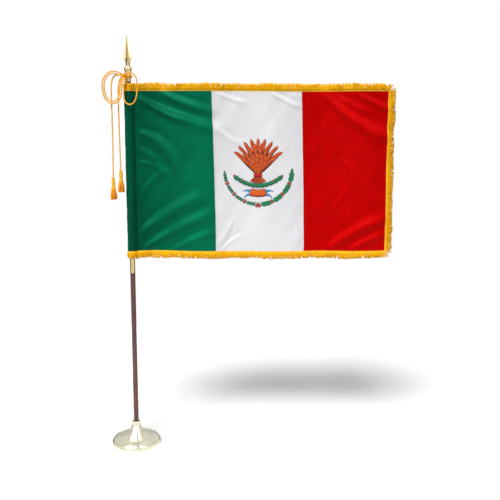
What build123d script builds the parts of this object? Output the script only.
from build123d import *
import math
import os

# Indoor ceremonial flag set: a weighted floor stand, a two-section wooden pole, a spear
# finial, a fringed flag on the pole, and a cord with two tassels tied under the spear.
# Millimetres, +Z up. The origin is on the floor, on the pole's axis. The flag flies
# towards +X and its front faces -Y.

INCH = 25.4

# Pole: two equal sections joined by a screw joint
POLE_R = 1.125 * INCH / 2
POLE_LENGTH = 7 * 12 * INCH
POLE_FOOT_Z = 14.0
POLE_TOP_Z = POLE_FOOT_Z + POLE_LENGTH
JOINT_Z = POLE_FOOT_Z + POLE_LENGTH / 2
TENON_R = 13.4
JOINT_FERRULE_R = 15.0
JOINT_PLUG_LENGTH = 25.0
JOINT_TENON_LENGTH = 30.0
JOINT_STUD_R = 5 / 8 * INCH / 2
JOINT_STUD_REACH = 18.0

# Stand
BASE_R = 144.0
SHELL_THICKNESS = 1.2
RIM_Z = 1.2
FELT_THICKNESS = 2.0
PLATE_THICKNESS = 2.0
BALLAST_R = 124.0
BALLAST_TOP_Z = 19.0
TUBE_R = 17.5
TUBE_BORE_R = 16.4
TUBE_FOOT_Z = FELT_THICKNESS + PLATE_THICKNESS
TUBE_TOP_Z = 118.0
NECK_Z = 105.0
COLLAR_R = 25.5
COLLAR_TOP_Z = 134.0
COLLAR_LIP_R = 15.2
BUSHING_FOOT_Z = 78.0
BUSHING_FLANGE_Z = 119.8
BUSHING_CLEARANCE = 0.16
PLATE_SCREW_COUNT = 3
PLATE_SCREW_CIRCLE_R = 95.0
PLATE_SCREW_R = 2.5
PLATE_SCREW_HEAD_R = 5.0
PLATE_SCREW_REACH = 8.0
NUT_HEIGHT = 7.5
WASHER_THICKNESS = 2.0

# Finial
FERRULE_R = 15.35
FERRULE_BORE_R = POLE_R + 0.15
FERRULE_FOOT_Z = POLE_TOP_Z - 45.0
FERRULE_TOP_Z = POLE_TOP_Z + 10.0
BEAD_TOP_Z = FERRULE_TOP_Z + 27.5
BEAD_RING_Z = FERRULE_TOP_Z + 14.0
BEAD_RING_THICKNESS = 1.4
BEAD_R = 20.4
BEAD_RING_R = 22.2
SPEAR_LENGTH = 171.7
SPEAR_STUD_R = 3 / 8 * INCH / 2
SPEAR_STUD_REACH = 9.5
SPEAR_HOLE_DEPTH = 12.0

# Flag: a 3 by 5 ft cloth of three panels. The first panel's hem is the pole sleeve.
FLAG_HEIGHT = 36 * INCH
FLAG_TOP_Z = POLE_TOP_Z - 88.0
FLAG_FOOT_Z = FLAG_TOP_Z - FLAG_HEIGHT
CLOTH_THICKNESS = 0.8
SLEEVE_R = 25.2
PANEL_WIDTHS = {"green_panel": 450.0, "white_panel": 508.0, "red_panel": 487.0}
WAVE_ANGLE = 14.0

# Fringe: two inches wide with its heading, which is sewn on the cloth
HEADING_WIDTH = 9.0
HEADING_THICKNESS = 0.8
FRINGE_LENGTH = 2 * INCH - HEADING_WIDTH
FRINGE_THICKNESS = 3.0

# Embroidered emblem: a device over an open wreath
EMBLEM_THICKNESS = 0.6
EMBLEM_LIFT = 35.0
EMBLEM_DEVICE_R = 112.0
WREATH_R = 191.0
WREATH_WIDTH = 44.0

# Leather tab inside the sleeve, and the screw in the pole that it hangs on
TAB_TOP_Z = FLAG_TOP_Z - 2.0
TAB_HEIGHT = 34.0
TAB_INNER_R = 15.2
TAB_THICKNESS = 1.8
TAB_HALF_ANGLE = 50.0
TAB_SLOT_HALF_ANGLE = 33.0
TAB_SCREW_Z = FLAG_TOP_Z - 20.0
TAB_SCREW_R = 1.8
TAB_SCREW_HEAD_R = 4.2

# Cord and tassels
CORD_R = 4.0
CORD_WRAP_TURNS = 3
CORD_WRAP_FOOT_Z = FERRULE_TOP_Z - 38.0
KNOT_R = 18.0
KNOT_X, KNOT_Y, KNOT_Z = -22.0, -24.0, CORD_WRAP_FOOT_Z + 12.0
TASSEL_HEAD = 67.0
TASSEL_SKIRT = 60.0
TASSEL_RIM_R = 12.6
SKIRT_TOP_R = 11.6
SKIRT_FOOT_R = 19.5
LONG_TASSEL = (-92.0, -30.0, 1506.0)
SHORT_TASSEL = (-50.0, -22.0, 1547.0)

os.makedirs("parts", exist_ok=True)


def save(builder, name):
    """Labels a finished piece and writes it as one STEP file."""
    builder.part.label = name
    export_step(builder.part, f"parts/{name}.step")


def level(height):
    """The horizontal plane at a height above the floor."""
    return Plane.XY.offset(height)


# ---------------------------------------------------------------- the stand

# Where the spun rings of the stand meet, as (radius, height), from the neck outwards.
RING_EDGES = [
    (28.5, 104.0),
    (31.0, 95.5),
    (34.5, 88.0),
    (39.0, 81.0),
    (45.0, 74.5),
    (52.0, 69.5),
    (60.0, 64.0),
    (72.0, 56.5),
    (85.0, 50.5),
    (97.0, 46.0),
    (115.0, 41.0),
]
RING_BULGE = 0.13
SHOULDER = [(115.0, 41.0), (131.0, 34.0), (139.6, 25.8)]
RIM_BEAD = [(139.6, 25.8), (143.0, 20.0), (142.4, 14.0)]


def bulged(start, end, bulge, sink=0.0):
    """A shallow arc between two (radius, height) points, moved inwards by sink."""
    run, rise = end[0] - start[0], end[1] - start[1]
    length = math.hypot(run, rise)
    normal = (-rise / length, run / length)
    middle = [
        (start[i] + end[i]) / 2 + normal[i] * length * bulge for i in (0, 1)
    ]
    points = (start, middle, end)
    return [(x - normal[0] * sink, z - normal[1] * sink) for x, z in points]


def inside(points, sink):
    """The same edges on the shell's inner wall, each moved along its mean normal."""
    moved = []
    for i, (x, z) in enumerate(points):
        before, after = points[max(i - 1, 0)], points[min(i + 1, len(points) - 1)]
        run, rise = after[0] - before[0], after[1] - before[1]
        length = math.hypot(run, rise)
        moved.append((x + rise / length * sink, z - run / length * sink))
    return moved


# The spun metal shell: neck, ten rounded rings, a shoulder, a bead and a rim band
with BuildPart() as base_shell:
    with BuildSketch(Plane.XZ):
        with BuildLine():
            Line((TUBE_R + 0.3, NECK_Z), (27.5, NECK_Z))
            Line((27.5, NECK_Z), RING_EDGES[0])
            for inner_edge, outer_edge in zip(RING_EDGES, RING_EDGES[1:]):
                ThreePointArc(*bulged(inner_edge, outer_edge, RING_BULGE))
            ThreePointArc(*SHOULDER)
            ThreePointArc(*RIM_BEAD)
            Line(RIM_BEAD[-1], (BASE_R, 12.6))
            Line((BASE_R, 12.6), (BASE_R, RIM_Z))
            Line((BASE_R, RIM_Z), (BASE_R - SHELL_THICKNESS, RIM_Z))
            hidden = [(BASE_R - SHELL_THICKNESS, RIM_Z), (BASE_R - SHELL_THICKNESS, 11.0)]
            hidden += [(141.0, 14.0), (141.5, 19.6), (138.5, 24.6), (130.4, 32.8)]
            hidden += inside(RING_EDGES, SHELL_THICKNESS)[::-1]
            hidden[-1] = (26.6, NECK_Z - SHELL_THICKNESS)
            hidden.append((TUBE_R + 0.3, NECK_Z - SHELL_THICKNESS))
            hidden.append((TUBE_R + 0.3, NECK_Z))
            Polyline(*hidden)
        make_face()
    revolve(axis=Axis.Z)
save(base_shell, "base_shell")

# The cast ballast disc, recessed underneath for the lock nut
NUT_POCKET_Z = TUBE_FOOT_Z + NUT_HEIGHT + WASHER_THICKNESS
with BuildPart() as ballast:
    with BuildSketch(Plane.XZ):
        with BuildLine():
            Polyline(
                (TUBE_R + 0.2, NUT_POCKET_Z),
                (30.0, NUT_POCKET_Z),
                (30.0, TUBE_FOOT_Z),
                (BALLAST_R, TUBE_FOOT_Z),
                (BALLAST_R, BALLAST_TOP_Z - 4.0),
                (BALLAST_R - 6.0, BALLAST_TOP_Z),
                (40.0, BALLAST_TOP_Z),
                (32.0, BALLAST_TOP_Z + 9.0),
                (TUBE_R + 0.2, BALLAST_TOP_Z + 9.0),
                close=True,
            )
        make_face()
    revolve(axis=Axis.Z)
    with BuildSketch(level(TUBE_FOOT_Z)):
        with PolarLocations(PLATE_SCREW_CIRCLE_R, PLATE_SCREW_COUNT):
            Circle(PLATE_SCREW_R)
    extrude(amount=PLATE_SCREW_REACH + 2.0, mode=Mode.SUBTRACT)
save(ballast, "ballast_disc")


def screw_heads(mode):
    """The three countersunk heads, flush with the plate's underside."""
    with Locations(level(FELT_THICKNESS)):
        with PolarLocations(PLATE_SCREW_CIRCLE_R, PLATE_SCREW_COUNT):
            Cone(
                PLATE_SCREW_HEAD_R,
                PLATE_SCREW_R,
                PLATE_THICKNESS,
                align=(Align.CENTER, Align.CENTER, Align.MIN),
                mode=mode,
            )


# The steel plate that closes the stand underneath
with BuildPart() as base_plate:
    with BuildSketch(level(FELT_THICKNESS)):
        Circle(BASE_R - SHELL_THICKNESS - 0.4)
    extrude(amount=PLATE_THICKNESS)
    screw_heads(Mode.SUBTRACT)
save(base_plate, "base_plate")

# The screws that hold the plate to the ballast, as one group
with BuildPart() as plate_screws:
    screw_heads(Mode.ADD)
    with BuildSketch(level(TUBE_FOOT_Z)):
        with PolarLocations(PLATE_SCREW_CIRCLE_R, PLATE_SCREW_COUNT):
            Circle(PLATE_SCREW_R)
    extrude(amount=PLATE_SCREW_REACH)
save(plate_screws, "plate_screws")

# The felt disc that the stand rests on, glued over the plate
with BuildPart() as floor_felt:
    with BuildSketch(Plane.XY):
        Circle(BASE_R - 6.0)
    extrude(amount=FELT_THICKNESS)
save(floor_felt, "floor_felt")

# The steel tube that stands in the ballast and takes the pole
with BuildPart() as socket_tube:
    with BuildSketch(level(TUBE_FOOT_Z)):
        Circle(TUBE_R)
        Circle(TUBE_BORE_R, mode=Mode.SUBTRACT)
    extrude(amount=TUBE_TOP_Z - TUBE_FOOT_Z)
save(socket_tube, "socket_tube")

# The rubber stop at the foot of the tube, on which the pole stands
with BuildPart() as socket_stop:
    with BuildSketch(level(TUBE_FOOT_Z)):
        Circle(TUBE_BORE_R)
    extrude(amount=POLE_FOOT_Z - TUBE_FOOT_Z)
save(socket_stop, "socket_stop")

# The hexagonal nut and washer that clamp the ballast on the tube
with BuildPart() as lock_nut:
    with BuildSketch(level(TUBE_FOOT_Z)):
        RegularPolygon(23.0, 6, major_radius=False)
        Circle(TUBE_R, mode=Mode.SUBTRACT)
    extrude(amount=NUT_HEIGHT)
save(lock_nut, "lock_nut")

with BuildPart() as lock_washer:
    with BuildSketch(level(TUBE_FOOT_Z + NUT_HEIGHT)):
        Circle(27.0)
        Circle(TUBE_R + 0.1, mode=Mode.SUBTRACT)
    extrude(amount=WASHER_THICKNESS)
save(lock_washer, "lock_washer")

# The turned collar, screwed on the tube to clamp the shell
with BuildPart() as collar:
    with BuildSketch(Plane.XZ):
        with BuildLine():
            Polyline(
                (TUBE_R, NECK_Z),
                (28.3, NECK_Z),
                (28.3, NECK_Z + 2.6),
                (COLLAR_R + 0.6, NECK_Z + 4.4),
                (COLLAR_R, NECK_Z + 6.0),
                (COLLAR_R, COLLAR_TOP_Z - 8.6),
                (COLLAR_R - 0.7, COLLAR_TOP_Z - 8.0),
                (COLLAR_R - 0.7, COLLAR_TOP_Z - 7.2),
                (COLLAR_R + 0.2, COLLAR_TOP_Z - 6.4),
                (COLLAR_R + 0.2, COLLAR_TOP_Z - 4.2),
            )
            ThreePointArc(
                (COLLAR_R + 0.2, COLLAR_TOP_Z - 4.2),
                (COLLAR_R - 1.1, COLLAR_TOP_Z - 1.2),
                (COLLAR_R - 4.2, COLLAR_TOP_Z),
            )
            ThreePointArc(
                (COLLAR_R - 4.2, COLLAR_TOP_Z),
                (18.2, COLLAR_TOP_Z - 1.5),
                (COLLAR_LIP_R + 0.4, COLLAR_TOP_Z - 6.0),
            )
            Polyline(
                (COLLAR_LIP_R + 0.4, COLLAR_TOP_Z - 6.0),
                (COLLAR_LIP_R, COLLAR_TOP_Z - 8.0),
                (COLLAR_LIP_R, BUSHING_FLANGE_Z + 0.2),
                (TUBE_R, BUSHING_FLANGE_Z + 0.2),
                (TUBE_R, NECK_Z),
            )
        make_face()
    revolve(axis=Axis.Z)
save(collar, "collar")

# The flanged nylon bushing that the pole turns and slides in
with BuildPart() as bushing:
    with BuildSketch(level(BUSHING_FOOT_Z)):
        Circle(TUBE_BORE_R - 0.1)
        Circle(POLE_R + BUSHING_CLEARANCE, mode=Mode.SUBTRACT)
    extrude(amount=TUBE_TOP_Z - BUSHING_FOOT_Z)
    with BuildSketch(level(TUBE_TOP_Z)):
        Circle(TUBE_R - 0.1)
        Circle(POLE_R + BUSHING_CLEARANCE, mode=Mode.SUBTRACT)
    extrude(amount=BUSHING_FLANGE_Z - TUBE_TOP_Z)
save(bushing, "pole_bushing")

# ---------------------------------------------------------------- the pole

HOLE_DEPTH = JOINT_STUD_REACH + 2.0
HOLE_CLEARANCE = 0.05


def joint_ferrule(face_z, direction):
    """A brass joint ferrule: a tube over the tenon, and a solid end with the stud's hole."""
    with BuildPart() as piece:
        with BuildSketch(level(face_z)):
            Circle(JOINT_FERRULE_R)
        extrude(amount=direction * (JOINT_PLUG_LENGTH + JOINT_TENON_LENGTH))
        with BuildSketch(level(face_z + direction * JOINT_PLUG_LENGTH)):
            Circle(TENON_R)
        extrude(amount=direction * JOINT_TENON_LENGTH, mode=Mode.SUBTRACT)
        with BuildSketch(level(face_z)):
            Circle(JOINT_STUD_R + HOLE_CLEARANCE)
        extrude(amount=direction * HOLE_DEPTH, mode=Mode.SUBTRACT)
        rims = piece.edges().filter_by(GeomType.CIRCLE)
        outer = rims.filter_by(lambda e: abs(e.radius - JOINT_FERRULE_R) < 0.01)
        chamfer(outer.group_by(Axis.Z)[0 if direction > 0 else -1], length=0.25)
        chamfer(outer.group_by(Axis.Z)[-1 if direction > 0 else 0], length=0.6)
    return piece


save(joint_ferrule(JOINT_Z, -1), "lower_joint_ferrule")
save(joint_ferrule(JOINT_Z, 1), "upper_joint_ferrule")

with BuildPart() as lower_pole:
    with BuildSketch(level(POLE_FOOT_Z)):
        Circle(POLE_R)
    extrude(amount=JOINT_Z - JOINT_PLUG_LENGTH - JOINT_TENON_LENGTH - POLE_FOOT_Z)
    chamfer(lower_pole.edges().group_by(Axis.Z)[0], length=1.0)
    with BuildSketch(level(JOINT_Z - JOINT_PLUG_LENGTH - JOINT_TENON_LENGTH)):
        Circle(TENON_R)
    extrude(amount=JOINT_TENON_LENGTH)
save(lower_pole, "lower_pole")

with BuildPart() as upper_pole:
    with BuildSketch(level(JOINT_Z + JOINT_PLUG_LENGTH)):
        Circle(TENON_R)
    extrude(amount=JOINT_TENON_LENGTH)
    with BuildSketch(level(JOINT_Z + JOINT_PLUG_LENGTH + JOINT_TENON_LENGTH)):
        Circle(POLE_R)
    extrude(amount=POLE_TOP_Z - JOINT_Z - JOINT_PLUG_LENGTH - JOINT_TENON_LENGTH)
    with Locations(Plane.YZ.offset(POLE_R - 12.0)):
        with Locations((0, TAB_SCREW_Z)):
            Cylinder(
                TAB_SCREW_R,
                20.0,
                align=(Align.CENTER, Align.CENTER, Align.MIN),
                mode=Mode.SUBTRACT,
            )
save(upper_pole, "upper_pole")

# The threaded stud between the two ferrules
with BuildPart() as joint_stud:
    with BuildSketch(level(JOINT_Z - JOINT_STUD_REACH)):
        Circle(JOINT_STUD_R)
    extrude(amount=2 * JOINT_STUD_REACH)
    chamfer(joint_stud.edges().filter_by(GeomType.CIRCLE), length=1.0)
save(joint_stud, "joint_stud")

# The round-headed screw in the pole that the flag's leather tab hangs on
with BuildPart() as tab_screw:
    with BuildSketch(Plane.YZ.offset(POLE_R - 12.0)):
        with Locations((0, TAB_SCREW_Z)):
            Circle(TAB_SCREW_R)
    extrude(amount=15.2)
    with BuildSketch(Plane.YZ.offset(POLE_R + 3.2)):
        with Locations((0, TAB_SCREW_Z)):
            Circle(TAB_SCREW_HEAD_R)
    extrude(amount=2.6)
    fillet(tab_screw.edges().sort_by(Axis.X)[-1], radius=1.8)
save(tab_screw, "tab_screw")

# ---------------------------------------------------------------- the finial

with BuildPart() as finial_ferrule:
    with BuildSketch(level(FERRULE_FOOT_Z)):
        Circle(FERRULE_R)
    extrude(amount=FERRULE_TOP_Z - FERRULE_FOOT_Z)
    with BuildSketch(level(FERRULE_FOOT_Z)):
        Circle(FERRULE_BORE_R)
    extrude(amount=POLE_TOP_Z - FERRULE_FOOT_Z, mode=Mode.SUBTRACT)
    with BuildSketch(level(POLE_TOP_Z)):
        Circle(SPEAR_STUD_R + HOLE_CLEARANCE)
    extrude(amount=FERRULE_TOP_Z - POLE_TOP_Z, mode=Mode.SUBTRACT)
save(finial_ferrule, "finial_ferrule")

with BuildPart() as spear_stud:
    with BuildSketch(level(FERRULE_TOP_Z - SPEAR_STUD_REACH)):
        Circle(SPEAR_STUD_R)
    extrude(amount=BEAD_TOP_Z + SPEAR_HOLE_DEPTH - 0.5 - FERRULE_TOP_Z + SPEAR_STUD_REACH)
    chamfer(spear_stud.edges().filter_by(GeomType.CIRCLE), length=0.8)
save(spear_stud, "spear_stud")

# The cup under the bead's ring
with BuildPart() as bead_lower:
    with BuildSketch(Plane.XZ):
        with BuildLine():
            Line((SPEAR_STUD_R + HOLE_CLEARANCE, BEAD_RING_Z), (SPEAR_STUD_R + HOLE_CLEARANCE, FERRULE_TOP_Z))
            Line((SPEAR_STUD_R + HOLE_CLEARANCE, FERRULE_TOP_Z), (16.6, FERRULE_TOP_Z))
            ThreePointArc(
                (16.6, FERRULE_TOP_Z), (19.6, FERRULE_TOP_Z + 5.5), (BEAD_R, BEAD_RING_Z)
            )
            Line((BEAD_R, BEAD_RING_Z), (SPEAR_STUD_R + HOLE_CLEARANCE, BEAD_RING_Z))
        make_face()
    revolve(axis=Axis.Z)
save(bead_lower, "finial_bead_lower")

with BuildPart() as bead_ring:
    with BuildSketch(level(BEAD_RING_Z)):
        Circle(BEAD_RING_R)
        Circle(SPEAR_STUD_R + HOLE_CLEARANCE, mode=Mode.SUBTRACT)
    extrude(amount=BEAD_RING_THICKNESS)
    chamfer(
        bead_ring.edges().filter_by(lambda e: e.geom_type == GeomType.CIRCLE and e.radius > 20),
        length=0.5,
    )
save(bead_ring, "finial_bead_ring")

# The domed cap over the ring
BEAD_CAP_Z = BEAD_RING_Z + BEAD_RING_THICKNESS
with BuildPart() as bead_upper:
    with BuildSketch(Plane.XZ):
        with BuildLine():
            Line((SPEAR_STUD_R + HOLE_CLEARANCE, BEAD_TOP_Z), (SPEAR_STUD_R + HOLE_CLEARANCE, BEAD_CAP_Z))
            Line((SPEAR_STUD_R + HOLE_CLEARANCE, BEAD_CAP_Z), (BEAD_R, BEAD_CAP_Z))
            ThreePointArc((BEAD_R, BEAD_CAP_Z), (18.6, BEAD_CAP_Z + 7.4), (13.0, BEAD_TOP_Z))
            Line((13.0, BEAD_TOP_Z), (SPEAR_STUD_R + HOLE_CLEARANCE, BEAD_TOP_Z))
        make_face()
    revolve(axis=Axis.Z)
save(bead_upper, "finial_bead_upper")

# Spear sections, as (height, half width, half depth, how far its hollow sides stand out)
SPEAR_SECTIONS = [
    (0.0, 10.8, 9.6, 0.62),
    (12.0, 11.6, 10.0, 0.60),
    (22.0, 13.2, 10.8, 0.54),
    (32.0, 16.4, 12.0, 0.47),
    (40.0, 20.0, 13.2, 0.42),
    (46.5, 22.9, 14.0, 0.40),
    (SPEAR_LENGTH - 2.0, 1.3, 1.1, 0.50),
    (SPEAR_LENGTH, 0.5, 0.5, 0.50),
]
with BuildPart() as spear:
    for height, half_width, half_depth, hollow in SPEAR_SECTIONS:
        side_x, side_y = half_width * hollow, half_depth * hollow
        with BuildSketch(level(BEAD_TOP_Z + height)):
            Polygon(
                (half_width, 0),
                (side_x, side_y),
                (0, half_depth),
                (-side_x, side_y),
                (-half_width, 0),
                (-side_x, -side_y),
                (0, -half_depth),
                (side_x, -side_y),
                align=None,
            )
    loft(ruled=True)
    with BuildSketch(level(BEAD_TOP_Z)):
        Circle(SPEAR_STUD_R + HOLE_CLEARANCE)
    extrude(amount=SPEAR_HOLE_DEPTH, mode=Mode.SUBTRACT)
save(spear, "spear_blade")

# ---------------------------------------------------------------- the flag

THETA = math.radians(WAVE_ANGLE)


def wave_edges():
    """Where the flag's half waves begin and end along X. Each panel has two."""
    edges = [SLEEVE_R]
    for width in PANEL_WIDTHS.values():
        chord = width / 2 * math.sin(THETA) / THETA
        edges += [edges[-1] + chord, edges[-1] + 2 * chord]
    return edges


WAVE_EDGES = wave_edges()


def wave_point(index, turn, offset):
    """A point of half wave number index, at turn from -1 to 1 along it, offset sideways."""
    low, high = WAVE_EDGES[index], WAVE_EDGES[index + 1]
    side = 1 if index % 2 == 0 else -1
    radius = (high - low) / 2 / math.sin(THETA)
    out = radius + side * offset
    x = (low + high) / 2 + out * math.sin(turn * THETA)
    y = side * (out * math.cos(turn * THETA) - radius * math.cos(THETA))
    return x, y


def wave_strip(first, last, middle, thickness, height, trim=(-1.0, 1.0)):
    """The sketch of a strip that follows half waves first to last, at a height."""
    low, high = middle - thickness / 2, middle + thickness / 2
    with BuildSketch(level(height)) as strip:
        for index in range(first, last + 1):
            start = trim[0] if index == first else -1.0
            end = trim[1] if index == last else 1.0
            turns = (start, (start + end) / 2, end)
            near = [wave_point(index, turn, low) for turn in turns]
            far = [wave_point(index, turn, high) for turn in turns]
            with BuildLine():
                ThreePointArc(*near)
                Line(near[2], far[2])
                ThreePointArc(*far[::-1])
                Line(far[0], near[0])
            make_face()
    return strip.sketch


def half_ring(inner, outer, height):
    """The sketch of the front half of a ring round the pole."""
    with BuildSketch(level(height)) as ring:
        Circle(outer)
        Circle(inner, mode=Mode.SUBTRACT)
        with Locations((0, outer)):
            Rectangle(2 * outer, 2 * outer, mode=Mode.SUBTRACT)
    return ring.sketch


# The first panel and the pole sleeve are one cloth
with BuildPart() as green_panel:
    with BuildSketch(level(FLAG_FOOT_Z)):
        Circle(SLEEVE_R)
        Circle(SLEEVE_R - CLOTH_THICKNESS, mode=Mode.SUBTRACT)
        add(wave_strip(0, 1, 0, CLOTH_THICKNESS, 0))
    extrude(amount=FLAG_HEIGHT)
save(green_panel, "green_panel")

for number, name in ((1, "white_panel"), (2, "red_panel")):
    with BuildPart() as panel:
        extrude(
            wave_strip(2 * number, 2 * number + 1, 0, CLOTH_THICKNESS, FLAG_FOOT_Z),
            amount=FLAG_HEIGHT,
        )
    save(panel, name)

LAST_WAVE = len(WAVE_EDGES) - 2
for name, foot in (("top_fringe", FLAG_TOP_Z), ("bottom_fringe", FLAG_FOOT_Z - FRINGE_LENGTH)):
    with BuildPart() as fringe:
        with BuildSketch(level(foot)):
            add(half_ring(SLEEVE_R, SLEEVE_R + FRINGE_THICKNESS, 0))
            add(wave_strip(0, LAST_WAVE, 0, FRINGE_THICKNESS, 0))
        extrude(amount=FRINGE_LENGTH)
    save(fringe, name)

# The fly end's fringe runs on in the last half wave's end direction
END_DIRECTION = math.cos(THETA), -math.sin(THETA) if LAST_WAVE % 2 == 0 else math.sin(THETA)
with BuildPart() as fly_fringe:
    with BuildSketch(level(FLAG_FOOT_Z)):
        near_end = wave_point(LAST_WAVE, 1.0, -FRINGE_THICKNESS / 2)
        far_end = wave_point(LAST_WAVE, 1.0, FRINGE_THICKNESS / 2)
        reach = [FRINGE_LENGTH * part for part in END_DIRECTION]
        with BuildLine():
            Polyline(
                near_end,
                (near_end[0] + reach[0], near_end[1] + reach[1]),
                (far_end[0] + reach[0], far_end[1] + reach[1]),
                far_end,
                close=True,
            )
        make_face()
    extrude(amount=FLAG_HEIGHT)
save(fly_fringe, "fly_fringe")

# The fringe's woven heading, sewn on both faces of the cloth's edges
HEADING_OFFSET = (CLOTH_THICKNESS + HEADING_THICKNESS) / 2
HEADING_START = -0.9
LAST_LENGTH = PANEL_WIDTHS["red_panel"] / 2
HEADING_TRIM = 1.0 - 2 * HEADING_WIDTH / LAST_LENGTH
for name, foot in (
    ("top_heading", FLAG_TOP_Z - HEADING_WIDTH),
    ("bottom_heading", FLAG_FOOT_Z),
):
    with BuildPart() as heading:
        for side in (-1, 1):
            extrude(
                wave_strip(
                    0, LAST_WAVE, side * HEADING_OFFSET, HEADING_THICKNESS, foot, (HEADING_START, 1.0)
                ),
                amount=HEADING_WIDTH,
            )
    save(heading, name)

with BuildPart() as fly_heading:
    for side in (-1, 1):
        extrude(
            wave_strip(
                LAST_WAVE,
                LAST_WAVE,
                side * HEADING_OFFSET,
                HEADING_THICKNESS,
                FLAG_FOOT_Z + HEADING_WIDTH,
                (HEADING_TRIM, 1.0),
            ),
            amount=FLAG_HEIGHT - 2 * HEADING_WIDTH,
        )
save(fly_heading, "fly_heading")

# The embroidered emblem on both faces: a round device over an open wreath
EMBLEM_X = WAVE_EDGES[3]
EMBLEM_Z = FLAG_TOP_Z - FLAG_HEIGHT / 2 + 10.0
EMBLEM_OFFSET = CLOTH_THICKNESS / 2 + EMBLEM_THICKNESS / 2
with BuildPart() as emblem:
    for side in (-1, 1):
        extrude(
            wave_strip(2, 3, side * EMBLEM_OFFSET, EMBLEM_THICKNESS, FLAG_FOOT_Z + 150.0),
            amount=FLAG_HEIGHT - 300.0,
        )
    with BuildSketch(Plane.XZ):
        with Locations((EMBLEM_X, EMBLEM_Z)):
            Circle(WREATH_R + WREATH_WIDTH / 2)
            Circle(WREATH_R - WREATH_WIDTH / 2, mode=Mode.SUBTRACT)
        with Locations((EMBLEM_X, EMBLEM_Z + WREATH_R + 10.0)):
            Rectangle(3 * WREATH_R, 2 * WREATH_R, mode=Mode.SUBTRACT)
        with Locations((EMBLEM_X, EMBLEM_Z + EMBLEM_LIFT)):
            Circle(EMBLEM_DEVICE_R)
    extrude(amount=60.0, both=True, mode=Mode.INTERSECT)
save(emblem, "emblem")

# The leather tab: an arched strip with a slot for the screw, sewn to the sleeve's top
with BuildPart() as leather_tab:
    with BuildSketch(level(TAB_TOP_Z - TAB_HEIGHT)):
        Circle(TAB_INNER_R + TAB_THICKNESS)
        Circle(TAB_INNER_R, mode=Mode.SUBTRACT)
    extrude(amount=TAB_HEIGHT)
    with BuildSketch(level(TAB_TOP_Z - TAB_THICKNESS)):
        Circle(SLEEVE_R - CLOTH_THICKNESS)
        Circle(TAB_INNER_R, mode=Mode.SUBTRACT)
    extrude(amount=TAB_THICKNESS)
    slot_half = math.radians(TAB_SLOT_HALF_ANGLE)
    tab_half = math.radians(TAB_HALF_ANGLE)
    with BuildSketch(level(TAB_SCREW_Z - TAB_SCREW_R - 0.3)):
        with BuildLine():
            Polyline(
                (0, 0),
                (40 * math.cos(slot_half), -40 * math.sin(slot_half)),
                (40 * math.cos(slot_half), 40 * math.sin(slot_half)),
                close=True,
            )
        make_face()
    extrude(amount=2 * TAB_SCREW_R + 0.6, mode=Mode.SUBTRACT)
    with BuildSketch(level(TAB_TOP_Z - TAB_HEIGHT)):
        with BuildLine():
            Polyline(
                (0, 0),
                (40, -40 * math.tan(tab_half)),
                (40, 40 * math.tan(tab_half)),
                close=True,
            )
        make_face()
    extrude(amount=TAB_HEIGHT, mode=Mode.INTERSECT)
save(leather_tab, "leather_tab")

# ---------------------------------------------------------------- the cord and tassels

# The wraps round the ferrule and the knot beside them, as one plain solid
with BuildPart() as cord_knot:
    with BuildSketch(level(CORD_WRAP_FOOT_Z)):
        Circle(FERRULE_R + 2 * CORD_R)
    extrude(amount=CORD_WRAP_TURNS * 2 * CORD_R)
    fillet(cord_knot.edges().filter_by(GeomType.CIRCLE), radius=CORD_R * 0.9)
    with Locations((KNOT_X, KNOT_Y, KNOT_Z)):
        Sphere(KNOT_R)
    with BuildSketch(level(FERRULE_FOOT_Z)):
        Circle(FERRULE_R)
    extrude(amount=FERRULE_TOP_Z - FERRULE_FOOT_Z, mode=Mode.SUBTRACT)
save(cord_knot, "cord_knot")


def tassel_head(name, place):
    """A tassel's wound head: a turned body that flares over the skirt. Place is its foot."""
    x, y, foot = place
    with BuildPart() as piece:
        with BuildSketch(Plane.XZ.offset(-y)):
            with BuildLine():
                Line((x, foot), (x + TASSEL_RIM_R, foot))
                Spline(
                    (x + TASSEL_RIM_R, foot),
                    (x + 12.2, foot + 6.0),
                    (x + 8.7, foot + 20.0),
                    (x + 10.1, foot + 36.0),
                    (x + 9.2, foot + 52.0),
                    (x + 8.0, foot + TASSEL_HEAD),
                )
                Line((x + 8.0, foot + TASSEL_HEAD), (x, foot + TASSEL_HEAD))
                Line((x, foot + TASSEL_HEAD), (x, foot))
            make_face()
        revolve(axis=Axis((x, y, 0), (0, 0, 1)))
    save(piece, name)


def tassel_skirt(name, place):
    """The plain outer shape of a tassel's hanging threads."""
    x, y, top = place
    with BuildPart() as piece:
        with BuildSketch(level(top - TASSEL_SKIRT)):
            with Locations((x, y)):
                Circle(SKIRT_FOOT_R)
        with BuildSketch(level(top)):
            with Locations((x, y)):
                Circle(SKIRT_TOP_R)
        loft()
    save(piece, name)


for length_name, place in (("long", LONG_TASSEL), ("short", SHORT_TASSEL)):
    tassel_head(f"{length_name}_tassel_head", place)
    tassel_skirt(f"{length_name}_tassel_skirt", place)

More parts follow.
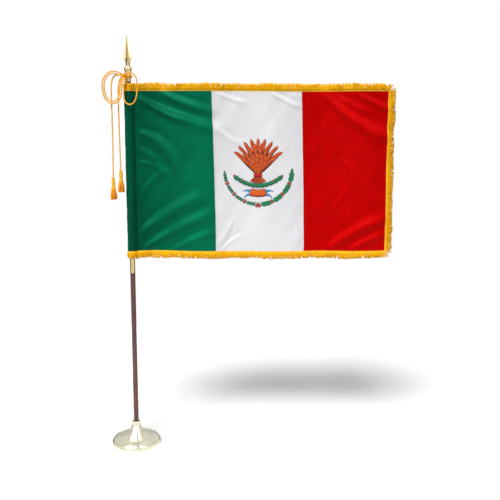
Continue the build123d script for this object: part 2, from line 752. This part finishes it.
# Routes of the five free stretches of cord. Each point's height is from the knot's centre.
LONG_END = (LONG_TASSEL[0], LONG_TASSEL[1], LONG_TASSEL[2] + TASSEL_HEAD - KNOT_Z)
SHORT_END = (SHORT_TASSEL[0], SHORT_TASSEL[1], SHORT_TASSEL[2] + TASSEL_HEAD - KNOT_Z)
ROUTES = {
    "cord_long_end": [
        (-38.0, -19.0, 3.0),
        (-60.0, -23.0, 7.0),
        (-78.0, -27.0, -6.0),
        (-88.0, -29.0, -33.0),
        (-90.5, -30.0, -78.0),
        (-89.5, -30.5, -155.0),
        (-89.0, -30.5, -260.0),
        (-89.3, -30.3, -362.0),
        (-90.3, -30.1, -463.0),
        LONG_END,
    ],
    "cord_short_end": [
        (-34.0, -19.0, -9.0),
        (-46.0, -21.0, -24.0),
        (-52.5, -22.5, -54.0),
        (-54.0, -23.0, -110.0),
        (-53.5, -22.8, -205.0),
        (-52.8, -22.5, -310.0),
        (-51.6, -22.2, -413.0),
        SHORT_END,
    ],
    "cord_outer_swag": [
        (-31.0, -34.0, 10.0),
        (-58.0, -40.0, 24.0),
        (-93.0, -44.0, 22.0),
        (-123.0, -47.0, -2.0),
        (-137.0, -49.0, -44.0),
        (-133.0, -51.0, -90.0),
        (-120.0, -52.0, -129.0),
        (-98.0, -52.0, -149.0),
        (-70.0, -52.0, -153.0),
        (-45.0, -51.0, -139.0),
        (-32.5, -50.0, -112.0),
        (-30.0, -48.0, -72.0),
        (-26.0, -44.0, -34.0),
        (-20.0, -38.0, -10.0),
    ],
    "cord_inner_swag": [
        (-36.0, -35.0, 1.0),
        (-62.0, -41.0, 12.0),
        (-91.0, -45.0, 10.0),
        (-114.0, -48.0, -9.0),
        (-126.0, -50.0, -46.0),
        (-122.5, -52.0, -88.0),
        (-112.0, -52.5, -121.0),
        (-93.5, -52.5, -137.0),
        (-72.0, -52.5, -141.0),
        (-53.0, -51.5, -130.0),
        (-43.0, -50.0, -108.0),
        (-40.0, -48.0, -72.0),
        (-35.5, -43.0, -34.0),
        (-29.0, -37.0, -8.0),
    ],
    "cord_right_loop": [
        (-12.0, -35.0, 5.0),
        (10.0, -41.0, 17.0),
        (38.0, -45.0, 12.0),
        (55.0, -47.0, -17.0),
        (58.0, -48.0, -60.0),
        (54.0, -49.0, -106.0),
        (44.0, -50.0, -138.0),
        (26.0, -50.5, -156.0),
        (2.0, -50.5, -156.0),
        (-14.0, -50.0, -139.0),
        (-18.5, -49.0, -108.0),
        (-18.0, -46.0, -72.0),
        (-15.0, -41.0, -36.0),
        (-10.0, -33.0, -9.0),
    ],
}
FILLET_SHARE = 0.45


def corner_radii(points):
    """The largest arc that each corner's shorter run allows."""
    radii = []
    for before, corner, after in zip(points, points[1:], points[2:]):
        arriving = Vector(*corner) - Vector(*before)
        leaving = Vector(*after) - Vector(*corner)
        half_turn = math.radians(arriving.get_angle(leaving)) / 2
        shorter = min(arriving.length, leaving.length)
        radii.append(FILLET_SHARE * shorter / math.tan(half_turn))
    return radii


for name, points in ROUTES.items():
    radii = corner_radii(points)
    with BuildPart() as cord:
        with BuildLine() as route:
            FilletPolyline(*[(x, y, KNOT_Z + rise) for x, y, rise in points], radius=radii)
        start = route.wires()[0]
        with BuildSketch(Plane(origin=start @ 0, z_dir=start % 0)):
            Circle(CORD_R)
        sweep()
    section = math.pi * CORD_R**2
    print(
        name,
        "length",
        round(start.length),
        "volume / (section x length)",
        round(cord.part.volume / section / start.length, 4),
        "radii",
        [round(radius) for radius in radii],
    )
    save(cord, name)
